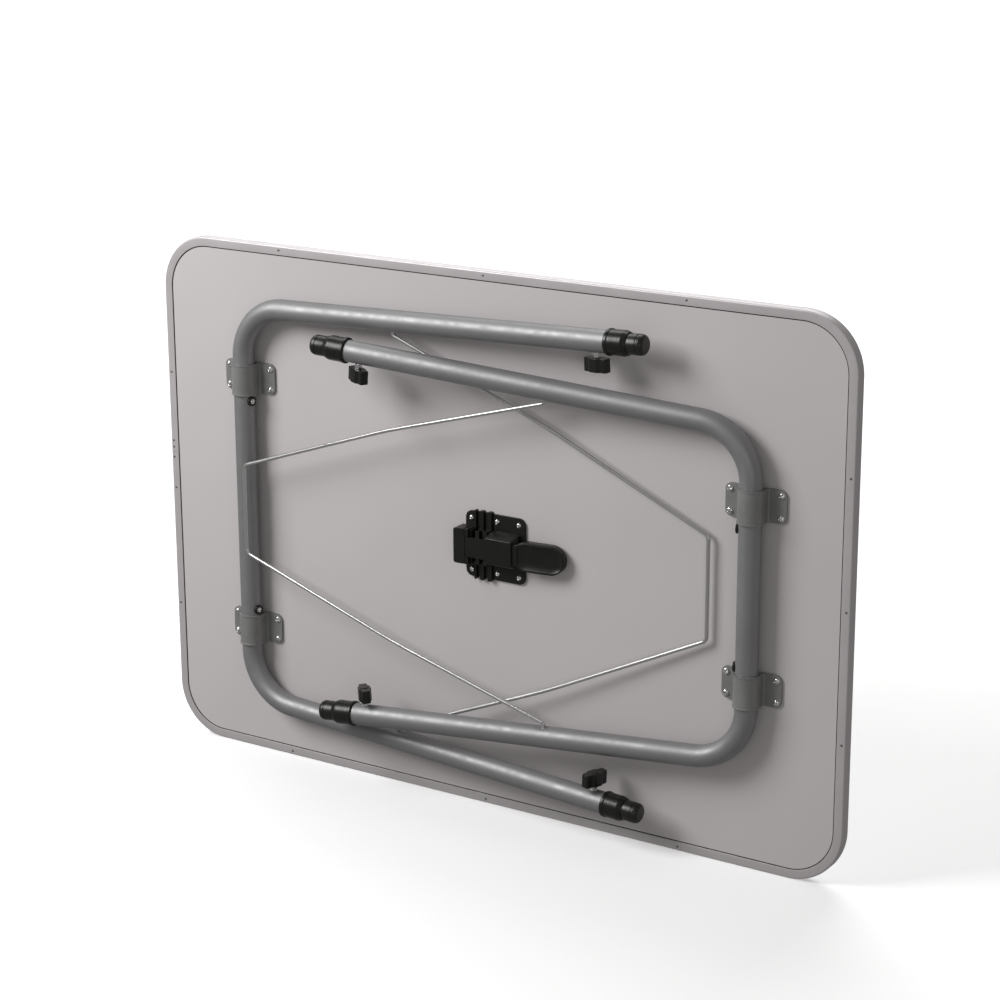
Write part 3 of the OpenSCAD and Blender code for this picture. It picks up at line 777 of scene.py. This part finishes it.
class TABLE_OT_leg_ends(bpy.types.Operator):
    """Makes collars, telescopic tubes, feet, clamp nuts and lobed knobs"""

    bl_idname = "camping_table.leg_ends"
    bl_label = "Collars, feet and knobs"

    collar_len = 30.0 * MM
    collar_r = 16.0 * MM
    foot_len = 21.0 * MM
    foot_r = 13.0 * MM
    inner_len = 250.0 * MM
    knob_reach = 17.0 * MM
    knob_t = 17.0 * MM
    knob_start = 20.3 * MM
    knob_turns = {("wide", True): 8, ("wide", False): -75,
                  ("narrow", True): -30, ("narrow", False): -50}

    def collar(self):
        r, l, tube = self.collar_r, self.collar_len, sizes().tube_radius
        return rounded_path(
            [(0, tube + 0.05 * MM), (0, r + 0.5 * MM), (4.5 * MM, r + 0.5 * MM),
             (5.2 * MM, r - 0.5 * MM), (l - 6 * MM, r - 0.2 * MM), (l - 1 * MM, r - 2.0 * MM),
             (l, r - 2.8 * MM), (l, sizes().inner_radius + 0.25 * MM),
             (l - 13 * MM, sizes().inner_radius + 0.25 * MM), (l - 13 * MM, tube + 0.05 * MM)],
            [0.3 * MM, 1.4 * MM, 0.5 * MM, 0.3 * MM, 3 * MM, 0.5 * MM, 0.3 * MM, 0.2 * MM, 0, 0],
            math.radians(12), closed=True)

    def foot(self):
        r, start = self.foot_r, self.collar_len + 0.4 * MM
        end = start + self.foot_len
        return rounded_path(
            [(start, 0), (start, r - 0.3 * MM), (end - 9.5 * MM, r), (end - 9.0 * MM, r - 0.7 * MM),
             (end - 8.2 * MM, r - 0.7 * MM), (end - 7.7 * MM, r), (end, r - 0.6 * MM), (end, 0)],
            [0, 0.5 * MM, 0.2 * MM, 0.2 * MM, 0.2 * MM, 0.2 * MM, 5.5 * MM, 0],
            math.radians(10))

    def knob_outline(self):
        """A round hub with a blunt wing on each side."""
        points, radii = [], []
        for turn in (1, -1):
            for x, y, radius in ((self.knob_reach, -5.4 * MM, 2.4 * MM),
                                 (self.knob_reach, 5.4 * MM, 2.4 * MM),
                                 (9.0 * MM, 5.8 * MM, 2.0 * MM),
                                 (5.6 * MM, 8.2 * MM, 3.0 * MM),
                                 (-5.6 * MM, 8.2 * MM, 3.0 * MM),
                                 (-9.0 * MM, 5.8 * MM, 2.0 * MM)):
                points.append(Vector((turn * x, turn * y)))
                radii.append(radius)
        return rounded_path(points, radii, math.radians(15), closed=True)

    def knob_place(self, leg_frame, upper):
        """Matrix with its X along the knob's wings and its Z along the clamp screw."""
        turn = math.radians(self.knob_turns[leg_frame.kind, upper])
        wings = Vector((math.cos(turn), 0, math.sin(turn)))
        inboard = Vector((0, -leg_frame.side(upper), 0))
        axes = Matrix((wings, inboard.cross(wings), inboard)).transposed().to_4x4()
        return leg_frame.leg(upper, leg_frame.knob_at) @ axes

    def execute(self, context):
        for leg_frame in FRAMES:
            kind = leg_frame.kind
            collars, nuts = bmesh.new(), bmesh.new()
            for upper, side in ((True, "upper"), (False, "lower")):
                at_collar = leg_frame.leg(upper, leg_frame.knob_at) @ Matrix.Translation(
                    (KNOB_BACK[kind], 0, 0))
                lathe(collars, self.collar(), at_collar, closed=True)
                self.telescope(kind, side, at_collar)
                at_knob = self.knob_place(leg_frame, upper)
                along_screw = at_knob @ Matrix.Rotation(-math.pi / 2, 4, "Y")
                self.nut(nuts, along_screw)
                self.knob(kind, side, at_knob, along_screw)
            piece(kind + "_end_collars", collars, plastic_finish(), kind + "_frame",
                  [kind + "_collars"])
            piece(kind + "_weld_nuts", nuts, screw_finish(), kind + "_frame",
                  [kind + "_clamp_nuts"], bevel=0.3 * MM)
        return {"FINISHED"}

    def telescope(self, kind, side, place):
        body = f"{kind}_inner_leg_{side}"
        bm = bmesh.new()
        end, r = self.collar_len + 0.4 * MM, sizes().inner_radius
        start = end - self.inner_len
        wall = 1.2 * MM
        lathe(bm, [(start, r), (end, r), (end, r - wall), (start, r - wall)], place,
              closed=True)
        piece(f"{kind}_slide_tube_{side}", bm, inner_tube_finish(), body,
              [f"{kind}_inner_{side}"])
        bm = bmesh.new()
        lathe(bm, self.foot(), place)
        piece(f"{kind}_end_foot_{side}", bm, foot_finish(), body,
              [f"{kind}_foot_{side}"])

    def nut(self, bm, place):
        start = sizes().tube_radius - 0.6 * MM
        top = self.knob_start - 0.3 * MM
        lathe(bm, [(start, 3.3 * MM), (start, 5.2 * MM), (top, 5.2 * MM), (top, 3.3 * MM)],
              place, sides=6, closed=True)

    def knob(self, kind, side, face_on, along_screw):
        body = f"{kind}_clamp_knob_{side}"
        bm = bmesh.new()
        slab(bm, self.knob_outline(), self.knob_start, self.knob_start + self.knob_t, face_on)
        hub = self.knob_start + self.knob_t - 0.8 * MM
        slab(bm, disc(5.4 * MM, 32), hub, hub + 1.6 * MM, face_on)
        piece(f"{kind}_lobed_knob_{side}", bm, plastic_finish(), body,
              [f"{kind}_knob_{side}"], bevel=1.0 * MM)
        bm = bmesh.new()
        start = self.knob_start - 7.4 * MM
        profile = [(start, 0)]
        turns = 36
        for k in range(turns):
            profile.append((start + k * 0.35 * MM, 2.7 * MM if k % 2 else 3.0 * MM))
        profile.append((profile[-1][0], 0))
        lathe(bm, profile, along_screw, sides=24)
        piece(f"{kind}_clamp_screw_{side}", bm, screw_finish(), body,
              [f"{kind}_knob_screw_{side}"], sharp=80)


class TABLE_OT_braces(bpy.types.Operator):
    """Sweeps the two wire braces from pivot to pivot"""

    bl_idname = "camping_table.braces"
    bl_label = "Wire braces"

    half_cross = {"wide": 66 * MM, "narrow": 60 * MM}
    mid_reach = 40 * MM

    def execute(self, context):
        for leg_frame in FRAMES:
            kind = leg_frame.kind
            to_flat = leg_frame.to_row.inverted()
            low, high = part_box(kind + "_brace")
            far_x = high.x - sizes().wire_radius if kind == "wide" else (
                low.x + sizes().wire_radius)
            pivot = joint_pos(kind + "_brace_fold")
            cross = self.crosspiece(kind)
            tip = Vector((far_x, cross.y, cross.z))
            arm = (tip - pivot).length
            along = (tip - pivot).normalized()
            place = Matrix.Translation(pivot) @ self.turned(along)
            half = leg_frame.half_at(leg_frame.pivot)
            pin_y = half - sizes().tube_radius + 4 * MM
            arm_y = half - sizes().tube_radius - 4 * MM
            span = self.half_cross[kind]
            middle = (arm / 2, (arm_y + span) / 2 + sizes().arm_bow)
            one = [(0, pin_y), (0, arm_y), middle, (arm, span)]
            radii = [0, 3.2 * MM, 900 * MM, 9 * MM]
            points = one + [(x, -y) for x, y in reversed(one)]
            path = rounded_path([(x, y, 0) for x, y in points], radii + radii[::-1],
                                math.radians(4), run_step=6 * MM)
            made = bar(kind + "_wire", [place @ p for p in path], sizes().wire_radius, 24,
                       wire_finish())
            dress(made, kind + "_brace", [kind + "_brace"])
        return {"FINISHED"}

    def crosspiece(self, kind):
        """Middle of the crosspiece: the mean of the CAD wire's points at its far end."""
        mesh = NODES[kind + "_brace"].data
        pivot = joint_pos(kind + "_brace_fold")
        far = max(abs(v.co.x - pivot.x) for v in mesh.vertices)
        end = [v.co for v in mesh.vertices
               if abs(v.co.x - pivot.x) > far - 2.2 * sizes().wire_radius]
        end = [co for co in end if abs(co.z - MID_HEIGHT) < self.mid_reach] or end
        lows = [min(c[i] for c in end) for i in range(3)]
        highs = [max(c[i] for c in end) for i in range(3)]
        return Vector([(a + b) / 2 for a, b in zip(lows, highs)])

    def turned(self, along):
        """Matrix whose X runs along the brace and whose Y runs up across the table."""
        x = Vector((along.x, along.y, 0)).normalized()
        y = Vector((0, 0, 1))
        z = x.cross(y)
        return Matrix((x, y, z)).transposed().to_4x4()


class TABLE_OT_latch(bpy.types.Operator):
    """Makes the latch plate, its cover and the sliding bolt"""

    bl_idname = "camping_table.latch"
    bl_label = "Latch"

    plate_t = 3.0 * MM
    plate_half = 43 * MM
    plate_end = 9 * MM
    block_half = 22.0 * MM
    block_top = 16.6 * MM
    rib_top = 6.0 * MM
    lug_top = 20.4 * MM
    ribs = ((-12.0 * MM, -9.05 * MM), (-3.55 * MM, 2.25 * MM), (7.75 * MM, 13.9 * MM))
    grooves = ((-9.2 * MM, -3.4 * MM), (2.1 * MM, 7.9 * MM))
    groove_floors = (3.2 * MM, 11.2 * MM)
    lug_len = 16.7 * MM
    lug_half = 23 * MM
    cheek_y = 18.2 * MM
    cheek_half = 4.8 * MM
    cheek_reach = 5.3 * MM
    cover_x = (14.0 * MM, 53.0 * MM)
    cover_half = 22.5 * MM
    bolt_z = (16.9 * MM, 19.9 * MM)
    bolt_half = 13 * MM
    tongue_x = 55 * MM
    tongue_fall = 7 * MM
    dish_depth = 2.6 * MM
    dot_at = (104 * MM, -7.5 * MM)

    def execute(self, context):
        self.base()
        self.cover()
        self.bolt()
        return {"FINISHED"}

    def base(self):
        low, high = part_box("latch_base")
        x0, rib_half = low.x, (high.z - low.z) / 2
        plate_x1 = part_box("latch_cover")[1].x + self.plate_end
        bm = bmesh.new()
        slab(bm, block(x0 + 8 * MM, plate_x1, self.plate_half, 9 * MM), 0, self.plate_t)
        for a, b in self.ribs:
            slab(bm, block(a, b, self.block_half, 1.4 * MM), 0, self.block_top)
            slab(bm, block(a, b, rib_half, 1.4 * MM), 0, self.rib_top)
        for (a, b), top in zip(self.grooves, self.groove_floors):
            slab(bm, block(a, b, self.block_half - 0.6 * MM, 0.1 * MM), 0, top)
        stop = x0 + self.lug_len
        slab(bm, block(x0, stop, self.lug_half, 3 * MM), 0, self.lug_top)
        for side in (1, -1):
            cheek = [(p.x, p.y + side * self.cheek_y)
                     for p in block(stop - 1 * MM, stop + self.cheek_reach,
                                    self.cheek_half, 1.5 * MM)]
            slab(bm, cheek, 0, self.lug_top)
        piece("latch_plate", bm, latch_finish(), "tabletop",
              ["latch_base"], bevel=0.8 * MM)

    def cover(self):
        a, b = self.cover_x
        levels = ((self.plate_t, 0.0), (5 * MM, 1.2), (14 * MM, 2.2), (22.2 * MM, 6.0))
        bm = bmesh.new()
        rings = []
        for z, inset in levels:
            outline = block(a, b + 2 * MM - inset * 0.4 * MM, self.cover_half - inset * MM, 2 * MM)
            rings.append([bm.verts.new(BOARD @ Vector((p.x, p.y, z))) for p in outline])
        join_rings(bm, rings)
        bm.faces.new(rings[-1])
        bm.faces.new(rings[0][::-1])
        piece("latch_housing", bm, latch_finish(), "tabletop",
              ["latch_cover"], sharp=28, bevel=0.9 * MM)

    def bolt(self):
        low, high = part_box("latch_bolt")
        z0, z1 = self.bolt_z
        end, wide = high.x, (high.z - low.z) / 2
        bm = bmesh.new()
        slab(bm, block(low.x, 60 * MM, self.bolt_half, 1.2 * MM), z0, z1)
        stations = 36
        across = 17
        start = self.tongue_x
        centre = end - wide
        top, bottom = [], []
        for i in range(stations + 1):
            x = start + (end - start) * math.sin(math.pi / 2 * i / stations)
            ease = min(1.0, max(0.0, (x - start) / (14 * MM)))
            half = self.bolt_half + (wide - self.bolt_half) * ease * ease * (3 - 2 * ease)
            if x > centre:
                half = math.sqrt(max(0.0, wide ** 2 - (x - centre) ** 2))
            half = max(half, 0.4 * MM)
            fall = self.tongue_fall * ((x - start) / (end - start)) ** 1.5
            rows = []
            for k in range(across):
                v = -1 + 2 * k / (across - 1)
                rim = max(abs(v), min(1.0, max(0.0, (x - centre) / wide)))
                inside = max(0.0, 1 - (rim / 0.86) ** 4) * ease
                z = z1 - fall - self.dish_depth * inside - 0.8 * MM * max(0.0, rim - 0.9) * 10
                rows.append((x, v * half, z))
            top.append([bm.verts.new(BOARD @ Vector(p)) for p in rows])
            bottom.append([bm.verts.new(BOARD @ Vector(
                (x, p[1] * 0.96, max(4.5 * MM, p[2] - 8 * MM * ease - 2.6 * MM))))
                for p in rows])
        rings = [t + list(reversed(b)) for t, b in zip(top, bottom)]
        join_rings(bm, rings)
        bm.faces.new(rings[0])
        bm.faces.new(rings[-1][::-1])
        slab(bm, disc(1.6 * MM, 20, *self.dot_at), 8 * MM, 12 * MM)
        piece("thumb_bolt", bm, latch_finish(), "latch_bolt",
              ["latch_bolt"], sharp=40)


class TABLE_OT_stops(bpy.types.Operator):
    """Makes the black cup washers and their screws on both crossbars"""

    bl_idname = "camping_table.stops"
    bl_label = "Stop washers"

    washer_r = 6.5 * MM
    washer_h = 2.6 * MM
    angle = math.radians(10)
    beside = 28.3 * MM

    def execute(self, context):
        for leg_frame in FRAMES:
            kind = leg_frame.kind
            low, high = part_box(kind + "_saddle_upper")
            y = (low.z + high.z) / 2 - MID_HEIGHT - self.beside
            bm = bmesh.new()
            tube = sizes().tube_radius
            heads = []
            for side in (1, -1):
                place = leg_frame.to_row @ Matrix.Translation((0, side * y, 0))
                place @= Matrix.Rotation(-self.angle, 4, "Y")
                r, h = self.washer_r, self.washer_h
                profile = rounded_path(
                    [(tube - 1.2 * MM, 0), (tube - 1.2 * MM, r), (tube + h, r),
                     (tube + h, r - 1.2 * MM), (tube + h - 0.9 * MM, 4.4 * MM),
                     (tube + h - 0.9 * MM, 0)],
                    [0, 0.3 * MM, 1.1 * MM, 0.4 * MM, 0.3 * MM, 0], math.radians(15))
                lathe(bm, profile, place)
                heads.append(place @ Vector((tube + h - 0.9 * MM, 0, 0)))
                direction = place.to_3x3() @ Vector((1, 0, 0))
            piece(kind + "_cup_washers", bm, plastic_finish(), kind + "_frame",
                  [kind + "_stop_washers"])
            head = round_head(3.9 * MM, 2.4 * MM, 0.9 * MM)
            studs(kind + "_stop_heads", heads, direction, head, 5, screw_finish(),
                  kind + "_frame", [kind + "_stop_screws"])
            bpy.data.objects.remove(head)
        return {"FINISHED"}


class TABLE_OT_fasteners(bpy.types.Operator):
    """Spreads screw heads over the saddles and the latch, and rivets round the rim"""

    bl_idname = "camping_table.fasteners"
    bl_label = "Screws and rivets"

    screw_dx = 67.4 * MM
    screw_dy = 27.4 * MM
    ear = 3.0 * MM

    def execute(self, context):
        outward = BOARD.to_3x3() @ Vector((0, 0, 1))
        head = round_head(sizes().head_radius, 2.9 * MM, 1.1 * MM)
        points = []
        for leg_frame in FRAMES:
            for side in ("upper", "lower"):
                low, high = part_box(f"{leg_frame.kind}_saddle_{side}")
                centre = TO_BOARD @ ((low + high) / 2)
                points += [
                    BOARD @ Vector((centre.x + a * self.screw_dx / 2,
                                    centre.y + b * self.screw_dy / 2, self.ear))
                    for a in (-1, 1) for b in (-1, 1)]
        studs("saddle_screw_heads", points, outward, head, 3, screw_finish(), "tabletop",
              ["saddle_screws"])
        plate_l, plate_r = -26 * MM, 62 * MM
        columns = (plate_l + 9 * MM, 21 * MM, plate_r - 9 * MM)
        points = [BOARD @ Vector((x, s * 34 * MM, self.ear)) for x in columns for s in (-1, 1)]
        small = round_head(3.6 * MM, 2.4 * MM, 0.9 * MM)
        studs("latch_screw_heads", points, outward, small, 8, screw_finish(), "tabletop",
              ["latch_screws"])
        low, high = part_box("edge_channel")
        half_l, half_w = high.x - 5.5 * MM, (high.z - low.z) / 2 - 5.5 * MM
        level = 1.0 * MM
        length, width = 2 * high.x, high.z - low.z
        points = [BOARD @ Vector((x * length, s * half_w, level))
                  for x in (-0.31, 0, 0.28) for s in (-1, 1)]
        points += [BOARD @ Vector((s * half_l, y * width, level))
                   for y in (-0.235, 0, 0.23) for s in (-1, 1)]
        points += [BOARD @ Vector((-half_l - 1 * MM, y * MM, level)) for y in (43, 57, 66)]
        rivet = round_head(1.7 * MM, 0.7 * MM, 0.0)
        studs("rim_rivet_heads", points, outward, rivet, 1, rivet_finish(), "tabletop",
              ["rim_rivets"])
        for spare in (head, small, rivet):
            bpy.data.objects.remove(spare)
        return {"FINISHED"}


class TABLE_OT_stage(bpy.types.Operator):
    """Sets the floor, the lights and the camera"""

    bl_idname = "camping_table.stage"
    bl_label = "Stage"

    eye = Vector((1.6873, -2.5866, 1.3079))
    ahead = Vector((-0.5204, 0.80667, -0.28012))
    up = Vector((-0.14821, 0.23773, 0.95996))
    lens = 92.35

    def execute(self, context):
        scene = context.scene
        floor = self.floor()
        self.lights(scene)
        data = bpy.data.cameras.new("camera")
        data.lens = self.lens
        data.sensor_width = 36.0
        data.clip_end = 50.0
        camera = new_object("camera", data)
        ahead = self.ahead.normalized()
        right = ahead.cross(self.up).normalized()
        up = right.cross(ahead)
        turn = Matrix((right, up, -ahead)).transposed()
        camera.matrix_world = Matrix.Translation(self.eye) @ turn.to_4x4()
        scene.camera = camera
        return {"FINISHED"}

    def floor(self):
        mesh = bpy.data.meshes.new("floor")
        size = 40.0
        corners = [(-size, -size, 0), (size, -size, 0), (size, size, 0), (-size, size, 0)]
        mesh.from_pydata(corners, [], [(0, 1, 2, 3)])
        made = new_object("floor", mesh)
        material = finish("pale_floor", (0.85, 0.85, 0.85), 0.7, tone=0.003,
                          tone_scale=1.0, grain=60.0, grain_depth=0.01 * MM, specular=0.1)
        shader = material.node_tree.nodes["Principled BSDF"]
        shader.inputs["Emission Color"].default_value = (1, 1, 1, 1)
        shader.inputs["Emission Strength"].default_value = 0.33
        mesh.materials.append(material)
        # The floor shows its shadows, but throws no light back up at the table.
        made.visible_diffuse = False
        made.visible_glossy = False
        return made

    lamps = (
        ("key", (-1.5, -1.6, 1.9), (0, 0, 0.35), 1.3, 56.0),
        ("fill", (2.4, -2.6, 1.0), (0, 0, 0.35), 1.2, 7.0),
        ("floor_near", (-2.0, 3.4, 4.5), (-2.0, 3.4, 0), 5.0, 190.0),
        ("floor_far", (-6.0, 9.5, 6.0), (-6.0, 9.5, 0), 8.0, 520.0),
    )

    def lights(self, scene):
        world = bpy.data.worlds.new("studio")
        world.use_nodes = True
        background = world.node_tree.nodes["Background"]
        background.inputs["Color"].default_value = (1, 0.99, 0.98, 1)
        background.inputs["Strength"].default_value = 0.22
        scene.world = world
        scene.view_settings.view_transform = "Standard"
        for name, place, target, size, power in self.lamps:
            data = bpy.data.lights.new(name, "AREA")
            data.size = size
            data.energy = power
            lamp = new_object(name, data)
            lamp.location = place
            aim = Vector(target) - Vector(place)
            lamp.rotation_euler = aim.to_track_quat("-Z", "Y").to_euler()


OPERATORS = (
    TABLE_OT_stage, TABLE_OT_panel, TABLE_OT_saddles, TABLE_OT_leg_tubes,
    TABLE_OT_leg_ends, TABLE_OT_braces, TABLE_OT_latch, TABLE_OT_stops,
    TABLE_OT_fasteners,
)


class TABLE_PT_build(bpy.types.Panel):
    """Buttons that build the table piece by piece"""

    bl_idname = "TABLE_PT_build"
    bl_label = "Camping table"
    bl_space_type = "VIEW_3D"
    bl_region_type = "UI"
    bl_category = "Table"

    def draw(self, context):
        layout = self.layout
        for settings in (context.scene.table_sizes, context.scene.table_colours):
            for name in settings.bl_rna.properties.keys():
                if name not in ("rna_type", "name"):
                    layout.prop(settings, name)
        for operator in OPERATORS:
            layout.operator(operator.bl_idname)


CLASSES = (TableSizes, TableColours) + OPERATORS + (TABLE_PT_build,)


def register():
    for cls in CLASSES:
        bpy.utils.register_class(cls)
    bpy.types.Scene.table_sizes = PointerProperty(type=TableSizes)
    bpy.types.Scene.table_colours = PointerProperty(type=TableColours)


def unregister():
    del bpy.types.Scene.table_colours
    del bpy.types.Scene.table_sizes
    for cls in reversed(CLASSES):
        bpy.utils.unregister_class(cls)


def main():
    register()
    for operator in OPERATORS:
        group, name = operator.bl_idname.split(".")
        getattr(getattr(bpy.ops, group), name)()


if __name__ == "__main__":
    main()
